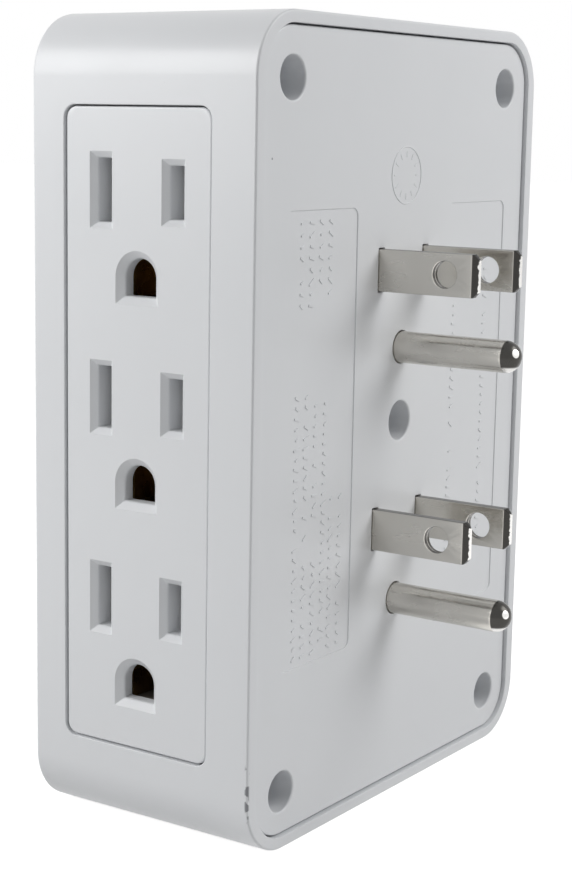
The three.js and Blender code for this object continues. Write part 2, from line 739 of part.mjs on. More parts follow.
function place(name, body, finish, parent = adapter) {
  const mesh = new THREE.Mesh(geometryOf(body), new THREE.MeshStandardMaterial(COLOURS[finish]));
  mesh.name = name;
  parent.add(mesh);
}

place("housing", housing(), "shell");
place("rear_cover", rearCover(), "shell");

// Each side holds an outlet face, the tray behind it and three contact strips.
for (const [sideName, side] of Object.entries(SIDES)) {
  const turnedSide = new THREE.Group();
  turnedSide.position.y = WINDOW_SHIFT_Y;
  turnedSide.rotation.z = side > 0 ? 0 : Math.PI;
  adapter.add(turnedSide);
  place(`outlet_face_${sideName}`, outletFace(), "shell", turnedSide);
  place(`contact_tray_${sideName}`, contactTray(side), "insulator");
  for (const conductor of Object.keys(CONDUCTORS)) {
    place(`${conductor}_strip_${sideName}`, contactStrip(side, conductor), "brass");
  }
}

// The links across the adapter.
place("line_link", bladeLink("line"), "brass");
place("neutral_link", bladeLink("neutral"), "brass");
place("ground_link", groundLink(), "brass");
place("prong_holder", prongHolder(), "insulator");

// The two plugs: a line blade, a neutral blade and a ground pin each, with the blades' rivets.
const FOOT_FRONTS = { line: LINE_FOOT_FRONT, neutral: NEUTRAL_FOOT_FRONT };
for (const [level, z] of Object.entries(PLUG_HEIGHTS)) {
  for (const [conductor, footFront] of Object.entries(FOOT_FRONTS)) {
    const side = BLADE_SIDE[conductor];
    place(`${level}_${conductor}_blade`, blade(side, z, footFront), "nickel");
    place(`${level}_${conductor}_rivet`, rivet(side, z, footFront), "steel");
  }
  place(`${level}_ground_pin`, groundPin(z - GROUND_DROP), "nickel");
}

for (const [where, spot] of Object.entries(SCREW_PLACES)) {
  place(`cover_screw_${where}`, coverScrew(spot), "steel");
}

export default adapter;
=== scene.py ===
"""Side outlet adapter: a wall tap that plugs into both outlets of a duplex receptacle
and gives three grounded outlets on each of its two sides.

Lengths are millimetres until a piece's mesh is made, which is in metres.
X is across the adapter, +Y points to the wall, +Z is up.
"""

import math

import bmesh
import bpy
from mathutils import Matrix, Vector


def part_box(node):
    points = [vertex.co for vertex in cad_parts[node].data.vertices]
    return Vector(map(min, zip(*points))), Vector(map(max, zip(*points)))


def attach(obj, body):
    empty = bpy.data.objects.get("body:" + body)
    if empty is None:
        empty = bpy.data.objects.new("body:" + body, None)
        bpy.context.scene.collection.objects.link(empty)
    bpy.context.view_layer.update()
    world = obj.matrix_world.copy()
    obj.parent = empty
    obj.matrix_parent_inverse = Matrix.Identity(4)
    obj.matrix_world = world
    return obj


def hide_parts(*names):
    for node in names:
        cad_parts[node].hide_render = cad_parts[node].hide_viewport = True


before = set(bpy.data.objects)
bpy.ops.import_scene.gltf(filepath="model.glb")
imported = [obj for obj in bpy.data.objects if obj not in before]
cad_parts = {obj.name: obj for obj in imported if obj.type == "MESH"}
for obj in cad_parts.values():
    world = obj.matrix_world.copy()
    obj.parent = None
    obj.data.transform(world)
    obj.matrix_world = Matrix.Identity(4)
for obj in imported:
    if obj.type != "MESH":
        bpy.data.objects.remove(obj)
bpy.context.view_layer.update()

MM = 0.001

# The photograph's camera
CAMERA_PLACE = (239.48, 160.58, 102.41)
CAMERA_LOOK = (-0.81537, -0.55292, -0.17159)
CAMERA_UP = (-0.13205, -0.11095, 0.98501)
FOCAL_PIXELS = 1852.5
PICTURE_HEIGHT = 893
FILM = 36

# Moulded edges and walls
SIDE_WALL = 3
FRONT_WALL = 2.4
CORNER_RADIUS = 9
HOUSING_EDGE = 0.6
RIM_WIDTH = 2.2
RIM_HEIGHT = 1.75
RIM_EDGE = 0.35
RIM_INNER_EDGE = 0.15
SEAT_CLEAR = 0.3
WINDOW_EDGE = 0.15
BOSS_RADIUS = 3.5
PILOT_RADIUS = 1.7
PILOT_DEPTH = 16

# Rear cover
COVER_GAP = 0.25
COVER_THICKNESS = 2
COVER_EDGE = 0.25
WELL_RADIUS = 3
WELL_DEPTH = 7.5
WELL_WALL = 1.1
WELL_FLOOR = 1.5
WELL_EDGE = 0.3
LABEL_INNER_X = 13.1
LABEL_OUTER_X = 31.3
LABEL_BOTTOM = 25.8
LABEL_TOP = 90.8
LABEL_RADIUS = 1.3
LABEL_DEPTH = 0.15
LABEL_DRAFT = 0.06
PRONG_CLEAR = 0.15
APERTURE_EDGE = 0.12
APERTURE_CORNER = 0.2

# Outlet faces
WINDOW_WIDTH = 25.8
WINDOW_HEIGHT = 91.7
WINDOW_RADIUS = 1.9
WINDOW_SHIFT_Y = -0.7
WINDOW_GAP = 0.22
FACE_EDGE = 0.3
FACE_THICKNESS = 2.6
FACE_SKIRT = 1.4
FLANGE_LAP = 1.5
FLANGE_THICKNESS = 1.5
OUTLET_COUNT = 3
OUTLET_PITCH = 29.15
BLADE_LINE_RISE = 5
SLOT_SPACING = 12.7
GROUND_DROP = 11.9
SLOT_WIDTH = 2.3
SLOT_CORNER = 0.15
NEUTRAL_SLOT_HEIGHT = 8.9
LINE_SLOT_HEIGHT = 7.3
GROUND_HOLE_WIDTH = 5.3
GROUND_HOLE_CORNER = 0.15
SLOT_LEAD = 0.8
SLOT_LEAD_DEPTH = 0.9
GROUND_LEAD = 1
GROUND_LEAD_DEPTH = 1
HOLE_EDGE = 0.12
LEAD_FOOT = 0.2
LEAD_STEPS = 4
COLLAR_WALL = 0.8
NEUTRAL_COLLAR_DEPTH = 3.6
LINE_COLLAR_DEPTH = 4.5

# Blades and pins
BLADE_THICKNESS = 1.5
BLADE_WIDTH = 6.2
BLADE_EDGE = 0.14
BLADE_SEAM = 0.06
BLADE_TIP_THICKNESS = 0.5
BLADE_TIP_BEVEL = 1.1
BLADE_CORNER_CUT = 0.9
BLADE_HOLE_RADIUS = 1.98
BLADE_HOLE_FROM_TIP = 5.4
CORNER_CUT_SHARE = 0.4
FOOT_THICKNESS = 0.7
FOOT_BEND_INSET = 0.3
FOOT_SIDE_INSET = 0.05
RIVET_HOLE_RADIUS = 1.3
PIN_RADIUS = 2.39
PIN_END_FLAT = 0.02
PIN_END_STEPS = 20
TENON_RADIUS = 1.2
TENON_HEAD_RADIUS = 2
TENON_HEAD_THICKNESS = 0.6
LINK_ROOM = 0.9

MERGE_DISTANCE = 1e-4
CUT_DISTANCE = 1e-5
SHARP_ANGLE = math.radians(32)
BLADE_SHARP_ANGLE = math.radians(20)


def box_mm(node):
    low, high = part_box(node)
    return low / MM, high / MM


HOUSING_LOW, HOUSING_HIGH = box_mm("housing")
HALF_WIDTH = HOUSING_HIGH.x
REAR = HOUSING_HIGH.y
FRONT = HOUSING_LOW.y
HEIGHT = HOUSING_HIGH.z
MIDDLE = HEIGHT / 2
COVER_FACE = box_mm("rear_cover")[1].y
COVER_INNER = COVER_FACE - COVER_THICKNESS
FACE_FRONT = box_mm("outlet_face_right")[1].x
FACE_BACK = box_mm("outlet_face_right")[0].x
OUTLET_LINES = [
    MIDDLE + (1 - i) * OUTLET_PITCH + BLADE_LINE_RISE for i in range(OUTLET_COUNT)
]
SCREWS = ["upper_right", "upper_left", "lower_right", "lower_left", "centre"]
LEVELS = ["upper", "lower"]
SIDES = {"right": 1, "left": -1}


def node_middle(node):
    low, high = box_mm(node)
    return (low + high) / 2


SCREW_PLACES = {where: node_middle(f"cover_screw_{where}") for where in SCREWS}


# Camera


def place_camera():
    data = bpy.data.cameras.new("camera")
    data.sensor_width = FILM
    data.lens = FILM * FOCAL_PIXELS / PICTURE_HEIGHT
    camera = bpy.data.objects.new("camera", data)
    bpy.context.scene.collection.objects.link(camera)
    look = Vector(CAMERA_LOOK).normalized()
    right = look.cross(Vector(CAMERA_UP)).normalized()
    up = right.cross(look)
    turn = Matrix((right, up, -look)).transposed()
    camera.matrix_world = Matrix.Translation(Vector(CAMERA_PLACE) * MM) @ turn.to_4x4()
    bpy.context.scene.camera = camera


place_camera()


# Outlines: closed lists of (a, b), always with the same count for any growth

QUARTER = math.pi / 2


def arcs(*parts):
    """Points along arcs, each given as centre a, centre b, radius, first and last quarter turn, steps."""
    points = []
    for a, b, radius, first, last, steps in parts:
        for i in range(steps + 1):
            angle = QUARTER * (first + (last - first) * i / steps)
            points.append((a + radius * math.cos(angle), b + radius * math.sin(angle)))
    return points


def rounded_rectangle(low, high, radius, steps=8):
    (a0, b0), (a1, b1) = low, high
    return arcs(
        (a1 - radius, b0 + radius, radius, -1, 0, steps),
        (a1 - radius, b1 - radius, radius, 0, 1, steps),
        (a0 + radius, b1 - radius, radius, 1, 2, steps),
        (a0 + radius, b0 + radius, radius, 2, 3, steps),
    )


def circle(a, b, radius, steps=48):
    return [
        (a + radius * math.cos(4 * QUARTER * i / steps), b + radius * math.sin(4 * QUARTER * i / steps))
        for i in range(steps)
    ]


def arch(a, b, half, corner):
    return arcs(
        (a + half - corner, b - half + corner, corner, -1, 0, 3),
        (a, b, half, 0, 2, 28),
        (a - half + corner, b - half + corner, corner, 2, 3, 3),
    )


def fillet(radius, steps=4):
    """A quarter round from a flat front, as (growth, depth) from the full radius down to none."""
    return [
        (radius * (1 - math.sin(QUARTER * i / steps)), radius * (1 - math.cos(QUARTER * i / steps)))
        for i in range(steps + 1)
    ]


def outer_fillet(radius, steps=4):
    """The same quarter round on an outer edge, where the front is the smaller outline."""
    return [(-growth, depth) for growth, depth in fillet(radius, steps)]


# Meshes


def rings(bm, outline_of, profile, place):
    """Rows of vertices, one for each (growth, depth), joined by quads."""
    rows = []
    for growth, depth in profile:
        rows.append([bm.verts.new(place(a, b, depth)) for a, b in outline_of(growth)])
    for first, second in zip(rows, rows[1:]):
        bridge(bm, first, second)
    return rows


def bridge(bm, first, second, skip=()):
    count = len(first)
    for i in range(count):
        if i in skip:
            continue
        after = (i + 1) % count
        bm.faces.new((first[i], first[after], second[after], second[i]))


def loop_edges(bm, row):
    edges = []
    for one, other in zip(row, row[1:] + row[:1]):
        edges.append(bm.edges.get((one, other)) or bm.edges.new((one, other)))
    return edges


def flat_fill(bm, rows):
    """A flat face between an outer row and the rows of the holes in it."""
    edges = [edge for row in rows for edge in loop_edges(bm, row)]
    bmesh.ops.triangle_fill(bm, use_beauty=True, use_dissolve=False, edges=edges)


def moulded_plate(place, outline_of, profile, through=(), blind=()):
    """A plate with its front at depth 0. A feature is an outline function and its profile:
    a through one ends at the plate's back, and a blind one at a floor of its own."""
    bm = bmesh.new()
    outer = rings(bm, outline_of, profile, place)
    front, back = [outer[0]], [outer[-1]]
    for feature_outline, feature_profile in through:
        rows = rings(bm, feature_outline, feature_profile, place)
        front.append(rows[0])
        back.append(rows[-1])
    for feature_outline, feature_profile in blind:
        rows = rings(bm, feature_outline, feature_profile, place)
        front.append(rows[0])
        bm.faces.new(rows[-1])
    flat_fill(bm, front)
    flat_fill(bm, back)
    return bm


def turned(bm, profile, x, z, steps=64):
    """A solid of revolution about Y from a list of (radius, y), closed at both ends."""
    rows = []
    for radius, y in profile:
        rows.append([bm.verts.new((x + a, y, z + b)) for a, b in circle(0, 0, radius, steps)])
    for first, second in zip(rows, rows[1:]):
        bridge(bm, first, second)
    bm.faces.new(rows[0])
    bm.faces.new(rows[-1])


def finished(name, bm, material, slot, *nodes, sharp=SHARP_ANGLE):
    """Turns millimetres into metres, and the mesh into a piece that stands for CAD nodes."""
    bmesh.ops.remove_doubles(bm, verts=bm.verts, dist=MERGE_DISTANCE)
    bmesh.ops.recalc_face_normals(bm, faces=bm.faces)
    bmesh.ops.scale(bm, vec=(MM, MM, MM), verts=bm.verts)
    for face in bm.faces:
        face.smooth = True
    for edge in bm.edges:
        edge.smooth = edge.calc_face_angle(0) < sharp
    mesh = bpy.data.meshes.new(name)
    bm.to_mesh(mesh)
    bm.free()
    mesh.materials.append(material)
    piece = bpy.data.objects.new(name, mesh)
    bpy.context.scene.collection.objects.link(piece)
    weighted = piece.modifiers.new("weighted normals", "WEIGHTED_NORMAL")
    weighted.keep_sharp = True
    return ridden(piece, slot, *nodes)


def ridden(piece, slot, *nodes):
    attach(piece, "root")
    if nodes:
        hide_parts(*nodes)
    return piece


# Materials


class Finish:
    """A material with a short way to add nodes: an input is a value or another node's output."""

    def __init__(self, name):
        self.material = bpy.data.materials.new(name)
        self.material.use_nodes = True
        self.tree = self.material.node_tree
        self.shader = self.tree.nodes["Principled BSDF"]
        where = self.add("ShaderNodeTexCoord")
        self.place = where.outputs["Object"]
        self.facing = where.outputs["Normal"]

    def connect(self, value, socket):
        if isinstance(value, bpy.types.NodeSocket):
            self.tree.links.new(value, socket)
        else:
            socket.default_value = value

    def add(self, kind, inputs=None, **settings):
        node = self.tree.nodes.new(kind)
        for key, value in settings.items():
            setattr(node, key, value)
        for key, value in (inputs or {}).items():
            self.connect(value, node.inputs[key])
        return node

    def set(self, **values):
        for key, value in values.items():
            self.connect(value, self.shader.inputs[key.replace("_", " ").title().replace("Ior", "IOR")])

    def part_of(self, vector, axis):
        return self.add("ShaderNodeSeparateXYZ", {0: vector}).outputs[axis]

    def noise(self, scale, detail=2.0, stretch=(1, 1, 1), roughness=0.5):
        stretched = self.add("ShaderNodeMapping", {"Vector": self.place, "Scale": stretch})
        made = self.add(
            "ShaderNodeTexNoise",
            {"Vector": stretched.outputs[0], "Scale": scale, "Detail": detail, "Roughness": roughness},
        )
        return made.outputs["Fac"]

    def remap(self, value, low, high, to_low, to_high):
        made = self.add(
            "ShaderNodeMapRange",
            {"Value": value, "From Min": low, "From Max": high, "To Min": to_low, "To Max": to_high},
        )
        return made.outputs[0]

    def math(self, operation, first, second=0.0):
        return self.add("ShaderNodeMath", {0: first, 1: second}, operation=operation).outputs[0]

    def blend(self, amount, first, second):
        made = self.add("ShaderNodeMix", data_type="RGBA")
        self.connect(amount, made.inputs[0])
        self.connect(first, made.inputs[6])
        self.connect(second, made.inputs[7])
        return made.outputs[2]

    def bump(self, height, strength, distance):
        made = self.add("ShaderNodeBump", {"Height": height, "Strength": strength, "Distance": distance})
        self.tree.links.new(made.outputs[0], self.shader.inputs["Normal"])

    def near(self, spot, radius):
        """1 within a radius of a spot, given in millimetres, and 0 outside it."""
        far = self.add(
            "ShaderNodeVectorMath",
            {0: self.place, 1: tuple(v * MM for v in spot)},
            operation="DISTANCE",
        ).outputs["Value"]
        return self.remap(far, radius * MM, 0.6 * radius * MM, 0.0, 1.0)


def rgb(r, g, b):
    return (r, g, b, 1.0)


# Small marks on the shell: place and radius in millimetres
DARK_SPECKS = [
    ((39.3, 4.2, 107.6), 0.22),
    ((39.3, 1.0, 6.2), 0.25),
    ((39.3, 5.0, 5.4), 0.22),
    ((39.3, 17.0, 4.0), 0.3),
    ((35.0, 18.9, 97.8), 0.2),
]
# A rubbed length of the near rear edge: its X and Y, its reach and its top, in millimetres
SCUFF_EDGE = (39.4, 19.4, 0)
SCUFF_REACH = 0.45
SCUFF_TOP = 15
# Painted reflections on the blades' bevels and the pins' round ends, and a pale band at each blade's end, in
# millimetres past where each starts
BEVEL_FADE = 0.12
PALE_END_FROM = 0.9
PALE_END_FULL = 0.97
DOME_PAINTED_DARK_FROM = 0.2
DOME_PAINTED_DARK_FULL = 0.32
# The way that the painted highlight on a pin's round end faces
GLINT_FACING = (0.37, 0.89, 0.28)


def scuffed(f, tone):
    """Broken dark rubs along the lower end of the near rear edge."""
    level = f.add("ShaderNodeVectorMath", {0: f.place, 1: (1, 1, 0)}, operation="MULTIPLY").outputs[0]
    corner = tuple(v * MM for v in SCUFF_EDGE)
    far = f.add("ShaderNodeVectorMath", {0: level, 1: corner}, operation="DISTANCE").outputs["Value"]
    close = f.remap(far, SCUFF_REACH * MM, 0.5 * SCUFF_REACH * MM, 0.0, 1.0)
    low = f.remap(f.part_of(f.place, "Z"), SCUFF_TOP * MM, (SCUFF_TOP - 1) * MM, 0.0, 1.0)
    broken = f.remap(f.noise(900, 1), 0.46, 0.52, 0.0, 0.75)
    amount = f.math("MULTIPLY", f.math("MULTIPLY", close, low), broken)
    return f.blend(amount, tone, rgb(0.07, 0.075, 0.09))


def moulded_white(name):
    """Cool white moulded plastic: satin, with a faint mottle, a fine grain and a few specks."""
    f = Finish(name)
    mottle = f.noise(55, 3)
    cloud = f.noise(14, 2)
    tone = f.blend(mottle, rgb(0.770, 0.785, 0.805), rgb(0.800, 0.812, 0.830))
    tone = f.blend(f.remap(cloud, 0.35, 0.65, 0.0, 0.35), tone, rgb(0.785, 0.800, 0.815))
    marks = 0.0
    for spot, radius in DARK_SPECKS:
        marks = f.math("ADD", marks, f.near(spot, radius))
    tone = f.blend(f.math("MULTIPLY", marks, 0.7), tone, rgb(0.10, 0.11, 0.13))
    tone = scuffed(f, tone)
    grain = f.noise(3200, 2)
    f.set(base_color=tone, roughness=f.remap(mottle, 0.3, 0.7, 0.30, 0.38), ior=1.5)
    f.bump(grain, 0.12, 0.00003)
    return f.material


def blade_painted_shade(f, tone):
    """The edges, the hole's wall and the tip's end get painted shade, the tip's bevel a dark painted
    reflection, and the bevel's last stretch a ragged pale band.
    """
    start = box_mm("upper_line_blade")[1].y - BLADE_TIP_BEVEL
    along = f.part_of(f.place, "Y")
    flat = f.math("ABSOLUTE", f.part_of(f.facing, "X"))
    ragged = f.math("ADD", along, f.remap(f.noise(1500, 2), 0.3, 0.7, -0.12 * MM, 0.12 * MM))
    # painted shade: darker wherever the surface does not face along X, on the edges, the hole's wall and the
    # tip's end
    dull = f.remap(flat, 0.35, 0.75, 0.9, 0.0)
    # painted reflection: the tip's bevel is darkened as if it reflected a dark room
    bevel = f.remap(along, start * MM, (start + BEVEL_FADE) * MM, 0.0, 0.95)
    # a ragged pale band painted on the last stretch of the bevel
    pale_end = f.remap(ragged, (start + PALE_END_FROM) * MM, (start + PALE_END_FULL) * MM, 0.0, 1.0)
    tone = f.blend(dull, tone, rgb(0.03, 0.029, 0.028))
    tone = f.blend(bevel, tone, rgb(0.02, 0.019, 0.018))
    return f.blend(pale_end, tone, rgb(0.80, 0.79, 0.77))


def dome_painted_reflection(f, tone):
    """A pin's round end gets a dark painted reflection, with a painted highlight as one bright spot and a
    pale painted reflection of the floor on its underside.
    """
    start = box_mm("upper_ground_pin")[1].y - PIN_RADIUS
    along = f.part_of(f.place, "Y")
    # painted reflection: the round end is darkened as if it reflected a dark room
    dark = f.remap(along, (start + DOME_PAINTED_DARK_FROM) * MM, (start + DOME_PAINTED_DARK_FULL) * MM, 0.0, 0.95)
    # painted highlight: a bright spot where the end faces GLINT_FACING
    toward = f.add("ShaderNodeVectorMath", {0: f.facing, 1: GLINT_FACING}, operation="DOT_PRODUCT")
    glint = f.remap(toward.outputs["Value"], 0.962, 0.975, 0.0, 1.0)
    # painted reflection: a pale underside as if it reflected the floor
    under = f.remap(f.part_of(f.facing, "Z"), -0.56, -0.68, 0.0, 0.8)
    tone = f.blend(dark, tone, rgb(0.03, 0.029, 0.027))
    pale = f.math("MULTIPLY", dark, f.math("MAXIMUM", glint, under))
    return f.blend(pale, tone, rgb(0.85, 0.84, 0.82))


def nickel_plate(name, painted_light):
    """Warm nickel plating: drawn along Y with fine scratches, duller in patches, and with painted shade and
    reflections from the function passed in.
    """
    f = Finish(name)
    drawn = f.noise(900, 3, (1, 0.06, 1))
    patch = f.noise(160, 3)
    scratch = f.noise(2600, 2, (1, 0.03, 1))
    tone = f.blend(patch, rgb(0.56, 0.54, 0.50), rgb(0.64, 0.62, 0.58))
    # the function passed in paints shade, reflections and a highlight into the base colour
    f.set(base_color=painted_light(f, tone), metallic=1.0)
    dull = f.math("ADD", f.remap(patch, 0.3, 0.7, 0.18, 0.28), f.remap(drawn, 0.3, 0.7, -0.03, 0.06))
    f.set(roughness=dull)
    f.bump(scratch, 0.18, 0.00002)
    return f.material


def stamped_brass(name):
    f = Finish(name)
    stain = f.noise(220, 4)
    tone = f.blend(f.remap(stain, 0.35, 0.65, 0, 1), rgb(0.20, 0.135, 0.06), rgb(0.34, 0.24, 0.11))
    f.set(base_color=tone, metallic=1.0, roughness=f.remap(stain, 0.3, 0.7, 0.22, 0.42))
    f.bump(f.noise(1800, 2, (1, 1, 0.1)), 0.15, 0.00002)
    return f.material


def zinc_steel(name):
    f = Finish(name)
    spangle = f.noise(500, 3)
    tone = f.blend(spangle, rgb(0.42, 0.43, 0.45), rgb(0.56, 0.57, 0.60))
    f.set(base_color=tone, metallic=1.0, roughness=f.remap(spangle, 0.3, 0.7, 0.25, 0.42))
    f.bump(f.noise(2400, 2), 0.15, 0.00002)
    return f.material


def matt_insulator(name):
    f = Finish(name)
    cloud = f.noise(120, 3)
    tone = f.blend(cloud, rgb(0.20, 0.19, 0.17), rgb(0.26, 0.25, 0.22))
    f.set(base_color=tone, roughness=f.remap(cloud, 0.3, 0.7, 0.55, 0.7))
    f.bump(f.noise(2600, 2), 0.2, 0.00004)
    return f.material


WHITE = moulded_white("cool white moulded plastic")
BLADE_NICKEL = nickel_plate("nickel plated blades", blade_painted_shade)
PIN_NICKEL = nickel_plate("nickel plated pins", dome_painted_reflection)
BRASS = stamped_brass("stamped brass")
ZINC = zinc_steel("zinc plated steel")
INSULATOR = matt_insulator("matt insulator")


# Housing


def body_outline(inset_x, inset_z=None, steps=20):
    inset_z = inset_x if inset_z is None else inset_z
    return rounded_rectangle(
        (inset_x - HALF_WIDTH, inset_z),
        (HALF_WIDTH - inset_x, HEIGHT - inset_z),
        CORNER_RADIUS - inset_x,
        steps,
    )


def window_outline(growth):
    half_width = WINDOW_WIDTH / 2 + growth
    half_height = WINDOW_HEIGHT / 2 + growth
    return rounded_rectangle(
        (-half_width, MIDDLE - half_height),
        (half_width, MIDDLE + half_height),
        WINDOW_RADIUS + growth,
        10,
    )


def side_place(side, surface):
    """Maps a side's own (across, up, depth) to X, Y, Z, turned half round for the left side."""

    def place(a, b, depth):
        return side * (surface - depth), WINDOW_SHIFT_Y + side * a, b

    return place


def housing():
    """One deep shell: its flat sides are filled round the windows."""
    bm = bmesh.new()
    ledge = COVER_INNER - SEAT_CLEAR
    front_edge = [(inset, FRONT + depth) for inset, depth in fillet(HOUSING_EDGE)]
    rear_edge = [(inset, REAR - depth) for inset, depth in reversed(fillet(RIM_EDGE, 3))]
    outer = [(inset, inset, y) for inset, y in front_edge + rear_edge]
    lip = [
        (RIM_WIDTH - growth, RIM_HEIGHT - growth, REAR - depth)
        for growth, depth in fillet(RIM_INNER_EDGE, 2)
    ]
    seat = [(RIM_WIDTH, RIM_HEIGHT, ledge), (SIDE_WALL, SIDE_WALL, ledge)]
    inner = [(SIDE_WALL, SIDE_WALL, FRONT + FRONT_WALL)]
    section = outer + lip + seat + inner
    rows = []
    for inset_x, inset_z, y in section:
        rows.append([bm.verts.new((a, y, b)) for a, b in body_outline(inset_x, inset_z)])
    count = len(rows[0])
    quarter = count // 4
    flat_right = quarter - 1
    flat_left = 3 * quarter - 1
    outer_wall = len(front_edge) - 1
    inner_wall = len(rows) - 2
    for i, (first, second) in enumerate(zip(rows, rows[1:])):
        open_sides = (flat_right, flat_left) if i in (outer_wall, inner_wall) else ()
        bridge(bm, first, second, open_sides)
    bm.faces.new(rows[0])
    bm.faces.new(rows[-1])
    profile = fillet(WINDOW_EDGE) + [(0, SIDE_WALL)]
    for side, flat in ((1, flat_right), (-1, flat_left)):
        window = rings(bm, window_outline, profile, side_place(side, HALF_WIDTH))
        for wall, row in ((outer_wall, window[0]), (inner_wall, window[-1])):
            first, second = rows[wall], rows[wall + 1]
            sheet = [first[flat], first[flat + 1], second[flat + 1], second[flat]]
            flat_fill(bm, [sheet, row])
    boss_end = COVER_FACE - WELL_DEPTH - WELL_FLOOR - SEAT_CLEAR
    for spot in SCREW_PLACES.values():
        boss = [
            (BOSS_RADIUS, FRONT + FRONT_WALL / 2),
            (BOSS_RADIUS, boss_end),
            (PILOT_RADIUS, boss_end),
            (PILOT_RADIUS, boss_end - PILOT_DEPTH),
        ]
        turned(bm, boss, spot.x, spot.z, 32)
    return finished("housing_shell", bm, WHITE, "shell", "housing")


# Rear cover


def cover_place(a, b, depth):
    return a, COVER_FACE - depth, b


def rear_cover():
    wide = RIM_WIDTH + COVER_GAP
    tall = RIM_HEIGHT + COVER_GAP
    edge = outer_fillet(COVER_EDGE) + [(0, COVER_THICKNESS)]
    through = []
    tube = WELL_RADIUS + WELL_WALL
    shank = PILOT_RADIUS
    for spot in SCREW_PLACES.values():
        well = [(WELL_RADIUS + growth, depth) for growth, depth in fillet(WELL_EDGE)]
        well += [
            (WELL_RADIUS, WELL_DEPTH),
            (shank, WELL_DEPTH),
            (shank, WELL_DEPTH + WELL_FLOOR),
            (tube, WELL_DEPTH + WELL_FLOOR),
            (tube, COVER_THICKNESS),
        ]
        through.append((lambda radius, s=spot: circle(s.x, s.z, radius), well))
    hole_edge = fillet(APERTURE_EDGE, 2) + [(0, COVER_THICKNESS)]
    for level in LEVELS:
        for x, z in blade_places(level):
            through.append((lambda growth, x=x, z=z: blade_aperture(x, z, growth), hole_edge))
        pin = node_middle(f"{level}_ground_pin")
        radius = PIN_RADIUS + PRONG_CLEAR
        through.append((lambda growth, p=pin: circle(p.x, p.z, radius + growth), hole_edge))
    blind = []
    for side in SIDES.values():
        low, high = sorted((side * LABEL_INNER_X, side * LABEL_OUTER_X))
        blind.append((
            lambda growth, a=low, b=high: rounded_rectangle(
                (a - growth, LABEL_BOTTOM - growth), (b + growth, LABEL_TOP + growth), LABEL_RADIUS + growth
            ),
            [(0, 0), (-LABEL_DRAFT, LABEL_DEPTH)],
        ))
    bm = moulded_plate(
        cover_place,
        lambda growth: body_outline(wide - growth, tall - growth),
        edge,
        through,
        blind,
    )
    return finished("rear_cover_plate", bm, WHITE, "shell", "rear_cover")


def blade_places(level):
    """The middle planes of a plug's line and neutral blades, and their middle height."""
    line_low = box_mm(f"{level}_line_blade")[0]
    neutral_high = box_mm(f"{level}_neutral_blade")[1]
    z = node_middle(f"{level}_line_blade").z
    return [(line_low.x + BLADE_THICKNESS / 2, z), (neutral_high.x - BLADE_THICKNESS / 2, z)]


def blade_aperture(x, z, growth):
    half_width = BLADE_THICKNESS / 2 + PRONG_CLEAR + growth
    half_height = BLADE_WIDTH / 2 + PRONG_CLEAR + growth
    return rounded_rectangle(
        (x - half_width, z - half_height), (x + half_width, z + half_height), APERTURE_CORNER, 3
    )


# Outlet faces


def slot_outline(a, b, height, growth):
    half_width = SLOT_WIDTH / 2 + growth
    half_height = height / 2 + growth
    return rounded_rectangle(
        (a - half_width, b - half_height), (a + half_width, b + half_height), SLOT_CORNER, 3
    )


def lead_in(lead, depth, collar=0):
    """From the front: a small edge round, the sloped lead-in, its rounded foot, the straight hole
    and any collar behind it."""
    profile = [(lead + HOLE_EDGE, 0), (lead, HOLE_EDGE)]
    for i in range(LEAD_STEPS + 1):
        share = i / LEAD_STEPS
        along = (1 - share) ** 2
        down = 1 - LEAD_FOOT * along + LEAD_FOOT * share**2
        profile.append((lead * LEAD_FOOT * along, depth * down))
    if collar:
        profile += [(0, collar), (COLLAR_WALL, collar), (COLLAR_WALL, FACE_THICKNESS)]
    else:
        profile += [(0, FACE_THICKNESS)]
    return profile


SLOTS = [
    (-SLOT_SPACING / 2, NEUTRAL_SLOT_HEIGHT, NEUTRAL_COLLAR_DEPTH),
    (SLOT_SPACING / 2, LINE_SLOT_HEIGHT, LINE_COLLAR_DEPTH),
]


def outlet_face(name, side):
    through = []
    for line in OUTLET_LINES:
        for a, height, collar in SLOTS:
            through.append((
                lambda growth, a=a, b=line, h=height: slot_outline(a, b, h, growth),
                lead_in(SLOT_LEAD, SLOT_LEAD_DEPTH, collar),
            ))
        through.append((
            lambda growth, b=line - GROUND_DROP: arch(
                0, b, GROUND_HOLE_WIDTH / 2 + growth, GROUND_HOLE_CORNER
            ),
            lead_in(GROUND_LEAD, GROUND_LEAD_DEPTH),
        ))
    back = FACE_FRONT - FACE_BACK
    edge = [(growth - WINDOW_GAP, depth) for growth, depth in outer_fillet(FACE_EDGE)]
    edge += [
        (-WINDOW_GAP, back - FLANGE_THICKNESS),
        (FLANGE_LAP, back - FLANGE_THICKNESS),
        (FLANGE_LAP, back),
        (-WINDOW_GAP - FACE_SKIRT, back),
        (-WINDOW_GAP - FACE_SKIRT, FACE_THICKNESS),
    ]
    bm = moulded_plate(side_place(side, FACE_FRONT), window_outline, edge, through)
    return finished(f"outlet_plate_{name}", bm, WHITE, "shell", f"outlet_face_{name}")


# Blades and pins


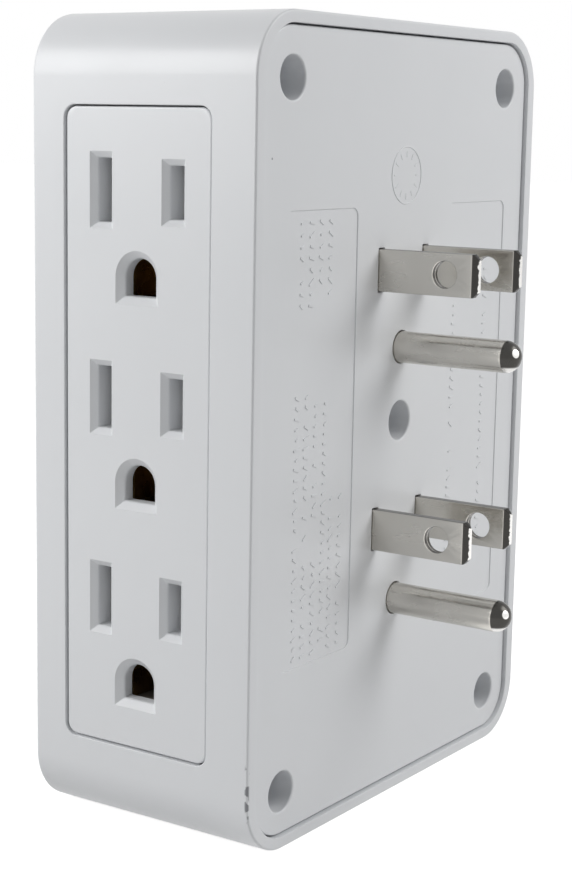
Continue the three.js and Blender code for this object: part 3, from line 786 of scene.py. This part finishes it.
def blade(level, kind, side):
    """A strip folded flat on itself: rounded edges, a seam, a hole, and a bevelled tip."""
    low, high = box_mm(f"{level}_{kind}_blade")
    (x_line, z), (x_neutral, _) = blade_places(level)
    x = x_line if side > 0 else x_neutral
    tip = high.y
    foot = low.y
    half = BLADE_WIDTH / 2
    cut = BLADE_CORNER_CUT

    def outline(growth):
        g = growth
        at_cut = CORNER_CUT_SHARE * growth
        return [
            (foot - g, z - half - g),
            (tip - cut + at_cut, z - half - g),
            (tip + g, z - half + cut - at_cut),
            (tip + g, z + half - cut + at_cut),
            (tip - cut + at_cut, z + half + g),
            (foot - g, z + half + g),
        ]

    def place(a, b, depth):
        return x + BLADE_THICKNESS / 2 - depth, a, b

    middle = BLADE_THICKNESS / 2
    near_edge = outer_fillet(BLADE_EDGE, 5)
    seam = [(0, middle - BLADE_SEAM), (-BLADE_SEAM, middle), (0, middle + BLADE_SEAM)]
    far_edge = [(growth, BLADE_THICKNESS - depth) for growth, depth in reversed(near_edge)]
    hole_near = fillet(BLADE_EDGE, 5)
    hole_seam = [(0, middle - BLADE_SEAM), (BLADE_SEAM, middle), (0, middle + BLADE_SEAM)]
    hole_far = [(growth, BLADE_THICKNESS - depth) for growth, depth in reversed(hole_near)]
    hole = (
        lambda growth: circle(tip - BLADE_HOLE_FROM_TIP, z, BLADE_HOLE_RADIUS + growth),
        hole_near + hole_seam + hole_far,
    )
    bm = moulded_plate(place, outline, near_edge + seam + far_edge, [hole])
    start = tip - BLADE_TIP_BEVEL
    bmesh.ops.bisect_plane(
        bm,
        geom=bm.verts[:] + bm.edges[:] + bm.faces[:],
        dist=CUT_DISTANCE,
        plane_co=(0, start, 0),
        plane_no=(0, 1, 0),
    )
    for vert in bm.verts:
        if vert.co.y > start:
            share = (vert.co.y - start) / BLADE_TIP_BEVEL
            width = 1 - share * (1 - BLADE_TIP_THICKNESS / BLADE_THICKNESS)
            vert.co.x = x + (vert.co.x - x) * width
    add_foot(bm, x, z, side, foot, (high.x if side > 0 else low.x))
    return finished(
        f"{level}_{kind}_prong", bm, BLADE_NICKEL, "nickel", f"{level}_{kind}_blade", sharp=BLADE_SHARP_ANGLE
    )


def add_foot(bm, x, z, side, foot, end):
    """The turned-out foot inside, with its rivet hole."""
    rivet = node_middle("upper_line_rivet" if side > 0 else "upper_neutral_rivet").x

    def place(a, b, depth):
        return a, foot + FOOT_THICKNESS - depth, b

    a0, a1 = sorted((x + side * FOOT_BEND_INSET, end))
    half = BLADE_WIDTH / 2 - FOOT_SIDE_INSET
    outer = rings(
        bm,
        lambda growth: [(a0, z - half), (a1, z - half), (a1, z + half), (a0, z + half)],
        [(0, 0), (0, FOOT_THICKNESS)],
        place,
    )
    hole = rings(
        bm,
        lambda growth: circle(rivet, z, RIVET_HOLE_RADIUS, 24),
        [(0, 0), (0, FOOT_THICKNESS)],
        place,
    )
    flat_fill(bm, [outer[0], hole[0]])
    flat_fill(bm, [outer[1], hole[1]])


def ground_pin(level):
    low, high = box_mm(f"{level}_ground_pin")
    x, z = (low.x + high.x) / 2, (low.z + high.z) / 2
    tip = high.y
    shoulder = low.y + TENON_HEAD_THICKNESS + LINK_ROOM
    profile = [
        (TENON_HEAD_RADIUS, low.y),
        (TENON_HEAD_RADIUS, low.y + TENON_HEAD_THICKNESS),
        (TENON_RADIUS, low.y + TENON_HEAD_THICKNESS),
        (TENON_RADIUS, shoulder),
        (PIN_RADIUS, shoulder),
    ]
    for i in range(PIN_END_STEPS):
        angle = QUARTER * i / PIN_END_STEPS
        profile.append((PIN_RADIUS * math.cos(angle), tip - PIN_RADIUS + PIN_RADIUS * math.sin(angle)))
    profile.append((PIN_END_FLAT, tip))
    bm = bmesh.new()
    turned(bm, profile, x, z)
    return finished(f"{level}_ground_prong", bm, PIN_NICKEL, "nickel", f"{level}_ground_pin")


# Relief marks grown by node trees

ROW_TREE_INPUTS = {
    "Rows": ("NodeSocketInt", 7),
    "Strokes": ("NodeSocketInt", 30),
    "Row Gap": ("NodeSocketFloat", 0.0024),
    "Row Length": ("NodeSocketFloat", 0.038),
    "Stroke Height": ("NodeSocketFloat", 0.0015),
    "Stroke Width": ("NodeSocketFloat", 0.0003),
    "Relief": ("NodeSocketFloat", 0.00024),
    "Seed": ("NodeSocketInt", 5),
    "Middle": ("NodeSocketVector", (0, 0, 0)),
    "Finish": ("NodeSocketMaterial", None),
}


class Tree:
    """A geometry node tree with named inputs."""

    def __init__(self, name, inputs):
        self.tree = bpy.data.node_groups.new(name, "GeometryNodeTree")
        self.tree.interface.new_socket("Geometry", in_out="OUTPUT", socket_type="NodeSocketGeometry")
        for key, (kind, value) in inputs.items():
            socket = self.tree.interface.new_socket(key, in_out="INPUT", socket_type=kind)
            if value is not None:
                socket.default_value = value
        self.start = self.tree.nodes.new("NodeGroupInput")
        self.end = self.tree.nodes.new("NodeGroupOutput")

    def value(self, name):
        return self.start.outputs[name]

    def add(self, kind, inputs=None, **settings):
        node = self.tree.nodes.new(kind)
        for key, value in settings.items():
            setattr(node, key, value)
        for key, value in (inputs or {}).items():
            if isinstance(value, bpy.types.NodeSocket):
                self.tree.links.new(value, node.inputs[key])
            else:
                node.inputs[key].default_value = value
        return node

    def math(self, operation, first, second):
        return self.add("ShaderNodeMath", {0: first, 1: second}, operation=operation).outputs[0]

    def vector(self, x, y, z):
        return self.add("ShaderNodeCombineXYZ", {"X": x, "Y": y, "Z": z}).outputs[0]

    def finish(self, geometry):
        whole = self.add("GeometryNodeRealizeInstances", {"Geometry": geometry})
        dressed = self.add(
            "GeometryNodeSetMaterial", {"Geometry": whole.outputs[0], "Material": self.value("Finish")}
        )
        self.tree.links.new(dressed.outputs[0], self.end.inputs["Geometry"])
        return self.tree


def grown(name, tree, slot, **values):
    """Runs a node tree on an empty mesh and keeps the result as a plain mesh."""
    holder = bpy.data.objects.new(name, bpy.data.meshes.new(name))
    bpy.context.scene.collection.objects.link(holder)
    modifier = holder.modifiers.new(name, "NODES")
    modifier.node_group = tree
    named = {key.lower().replace(" ", "_"): key for key in (s.name for s in tree.interface.items_tree)}
    for key, value in values.items():
        socket = tree.interface.items_tree[named[key]]
        modifier[socket.identifier] = value
    scene_state = bpy.context.evaluated_depsgraph_get()
    mesh = bpy.data.meshes.new_from_object(holder.evaluated_get(scene_state))
    holder.modifiers.clear()
    holder.data = mesh
    return ridden(holder, slot)


def stroke_rows_tree():
    """Rows of short raised strokes on the plane of the cover, laid out on a grid."""
    t = Tree("stroke rows", ROW_TREE_INPUTS)
    rows = t.value("Rows")
    strokes = t.value("Strokes")
    width = t.math("MULTIPLY", t.value("Row Gap"), t.math("SUBTRACT", rows, 1))
    grid = t.add(
        "GeometryNodeMeshGrid",
        {"Size X": width, "Size Y": t.value("Row Length"), "Vertices X": rows, "Vertices Y": strokes},
    ).outputs["Mesh"]
    stroke = t.add(
        "GeometryNodeMeshCube",
        {"Size": t.vector(t.value("Stroke Height"), t.value("Stroke Width"), t.value("Relief"))},
    ).outputs["Mesh"]
    keep = t.add(
        "FunctionNodeRandomValue", {"Probability": 0.86, "Seed": t.value("Seed")}, data_type="BOOLEAN"
    ).outputs["Value"]
    length = t.add("FunctionNodeRandomValue", {2: 0.35, 3: 1.0, "Seed": t.value("Seed")}).outputs[1]
    turn = t.add(
        "FunctionNodeRandomValue",
        {0: (0, 0, -0.7), 1: (0, 0, 0.7), "Seed": t.value("Seed")},
        data_type="FLOAT_VECTOR",
    ).outputs[0]
    many = t.add(
        "GeometryNodeInstanceOnPoints",
        {
            "Points": grid,
            "Selection": keep,
            "Instance": stroke,
            "Rotation": turn,
            "Scale": t.vector(length, 1.0, 1.0),
        },
    ).outputs[0]
    stood = t.add(
        "GeometryNodeTransform",
        {"Geometry": many, "Translation": t.value("Middle"), "Rotation": (math.pi / 2, 0, 0)},
    ).outputs[0]
    return t.finish(stood)


DIAL_TREE_INPUTS = {
    "Radius": ("NodeSocketFloat", 0.0042),
    "Line": ("NodeSocketFloat", 0.0001),
    "Ticks": ("NodeSocketInt", 12),
    "Tick Length": ("NodeSocketFloat", 0.0009),
    "Tick Radius": ("NodeSocketFloat", 0.0031),
    "Middle": ("NodeSocketVector", (0, 0, 0)),
    "Finish": ("NodeSocketMaterial", None),
}
TICK_WIDTH_IN_LINES = 2.4


def dial_tree():
    """A raised ring with short ticks inside it."""
    t = Tree("dial ring", DIAL_TREE_INPUTS)
    ring = t.add("GeometryNodeCurvePrimitiveCircle", {"Resolution": 96, "Radius": t.value("Radius")})
    section = t.add("GeometryNodeCurvePrimitiveCircle", {"Resolution": 8, "Radius": t.value("Line")})
    raised = t.add(
        "GeometryNodeCurveToMesh",
        {"Curve": ring.outputs["Curve"], "Profile Curve": section.outputs["Curve"]},
    ).outputs[0]
    places = t.add(
        "GeometryNodeMeshCircle", {"Vertices": t.value("Ticks"), "Radius": t.value("Tick Radius")}
    )
    tick_width = t.math("MULTIPLY", t.value("Line"), TICK_WIDTH_IN_LINES)
    tick = t.add(
        "GeometryNodeMeshCube",
        {"Size": t.vector(t.value("Tick Length"), tick_width, t.value("Line"))},
    ).outputs["Mesh"]
    spot = t.add("GeometryNodeInputPosition").outputs[0]
    outward = t.add("FunctionNodeAlignRotationToVector", {"Vector": spot}, axis="X")
    ticks = t.add(
        "GeometryNodeInstanceOnPoints",
        {"Points": places.outputs["Mesh"], "Instance": tick, "Rotation": outward.outputs[0]},
    ).outputs[0]
    both = t.add("GeometryNodeJoinGeometry")
    t.tree.links.new(raised, both.inputs[0])
    t.tree.links.new(ticks, both.inputs[0])
    stood = t.add(
        "GeometryNodeTransform",
        {"Geometry": both.outputs[0], "Translation": t.value("Middle"), "Rotation": (math.pi / 2, 0, 0)},
    ).outputs[0]
    return t.finish(stood)


# Rows of strokes in the label fields: middle X, lowest Z, length, rows and strokes in a row
STROKE_ROWS = {
    "label_rows_long": (24.2, 27.2, 37.5, 4, 27),
    "label_rows_short": (17.4, 27.2, 22.0, 2, 16),
    "label_rows_top": (23.6, 77.5, 11.5, 4, 8),
    "label_rows_far_inner": (-16.0, 34.0, 48.0, 1, 34),
    "label_rows_far_outer": (-26.0, 36.0, 44.0, 1, 31),
}
ROW_GAP = 2.4
DIAL_PLACE = (-0.1, 95.2)


def relief_marks():
    rows_tree = stroke_rows_tree()
    floor = COVER_FACE - LABEL_DEPTH
    for seed, (name, (x, low, length, rows, strokes)) in enumerate(STROKE_ROWS.items()):
        grown(
            name,
            rows_tree,
            "shell",
            rows=rows,
            strokes=strokes,
            row_gap=ROW_GAP * MM,
            row_length=length * MM,
            seed=seed,
            middle=(x * MM, floor * MM, (low + length / 2) * MM),
            finish=WHITE,
        )
    x, z = DIAL_PLACE
    grown("dial_mark", dial_tree(), "shell", middle=(x * MM, COVER_FACE * MM, z * MM), finish=WHITE)


housing()
rear_cover()
for side_name, side_sign in SIDES.items():
    outlet_face(side_name, side_sign)
for level_name in LEVELS:
    blade(level_name, "line", 1)
    blade(level_name, "neutral", -1)
    ground_pin(level_name)
relief_marks()


# The metal and insulators inside keep their CAD shapes and get their finish


def dress(nodes, material):
    for node in nodes:
        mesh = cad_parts[node].data
        mesh.materials.clear()
        mesh.materials.append(material)


conductors = ["line", "ground", "neutral"]
dress([f"{conductor}_strip_{side}" for conductor in conductors for side in SIDES], BRASS)
dress([f"{conductor}_link" for conductor in conductors], BRASS)
dress([f"contact_tray_{side}" for side in SIDES] + ["prong_holder"], INSULATOR)
dress([f"cover_screw_{where}" for where in SCREWS], ZINC)
dress([f"{level}_{kind}_rivet" for level in LEVELS for kind in ("line", "neutral")], ZINC)


# Floor, world and lamps: the floor's half width is in metres

FLOOR_HALF = 3.0
FLOOR_TONE = rgb(0.6, 0.6, 0.6)
FLOOR_GLOW = 0.85
AMBIENT = 0.2


def pale_floor():
    """White to the camera and to polished metal, and a plain pale floor to the lamps."""
    mesh = bpy.data.meshes.new("floor")
    half = FLOOR_HALF
    corners = [(-half, -half, 0), (half, -half, 0), (half, half, 0), (-half, half, 0)]
    mesh.from_pydata(corners, [], [(0, 1, 2, 3)])
    floor = bpy.data.objects.new("floor", mesh)
    bpy.context.scene.collection.objects.link(floor)
    f = Finish("pale floor")
    f.set(base_color=FLOOR_TONE, roughness=0.9)
    seen = f.add("ShaderNodeLightPath")
    shown = f.math("MAXIMUM", seen.outputs["Is Camera Ray"], seen.outputs["Is Glossy Ray"])
    f.set(emission_color=rgb(1, 1, 1), emission_strength=f.math("MULTIPLY", shown, FLOOR_GLOW))
    mesh.materials.append(f.material)


def white_world():
    """White to the camera and to polished metal, and dimmer as a light on the part."""
    world = bpy.data.worlds.new("studio")
    bpy.context.scene.world = world
    world.use_nodes = True
    tree = world.node_tree
    background = tree.nodes["Background"]
    seen = tree.nodes.new("ShaderNodeLightPath")
    either = tree.nodes.new("ShaderNodeMath")
    either.operation = "MAXIMUM"
    tree.links.new(seen.outputs["Is Camera Ray"], either.inputs[0])
    tree.links.new(seen.outputs["Is Glossy Ray"], either.inputs[1])
    strength = tree.nodes.new("ShaderNodeMapRange")
    strength.inputs["To Min"].default_value = AMBIENT
    strength.inputs["To Max"].default_value = 1.0
    tree.links.new(either.outputs[0], strength.inputs["Value"])
    tree.links.new(strength.outputs[0], background.inputs["Strength"])
    background.inputs["Color"].default_value = (1, 1, 1, 1)


def softbox(name, toward, distance, size, power):
    """A square lamp that looks at the adapter's middle from a direction, in metres and watts."""
    data = bpy.data.lights.new(name, "AREA")
    data.shape = "SQUARE"
    data.size = size
    data.energy = power
    lamp = bpy.data.objects.new(name, data)
    bpy.context.scene.collection.objects.link(lamp)
    aim = Vector(toward).normalized()
    lamp.location = Vector((0, 0, MIDDLE * MM)) + aim * distance
    lamp.rotation_euler = (-aim).to_track_quat("-Z", "Y").to_euler()


pale_floor()
white_world()
softbox("key softbox", (-0.48, 0.84, 0.68), 0.5, 0.3, 1.32)
softbox("side softbox", (0.27, -0.19, 0.15), 0.357, 0.2, 0.72)

bpy.context.scene.view_settings.view_transform = "Standard"
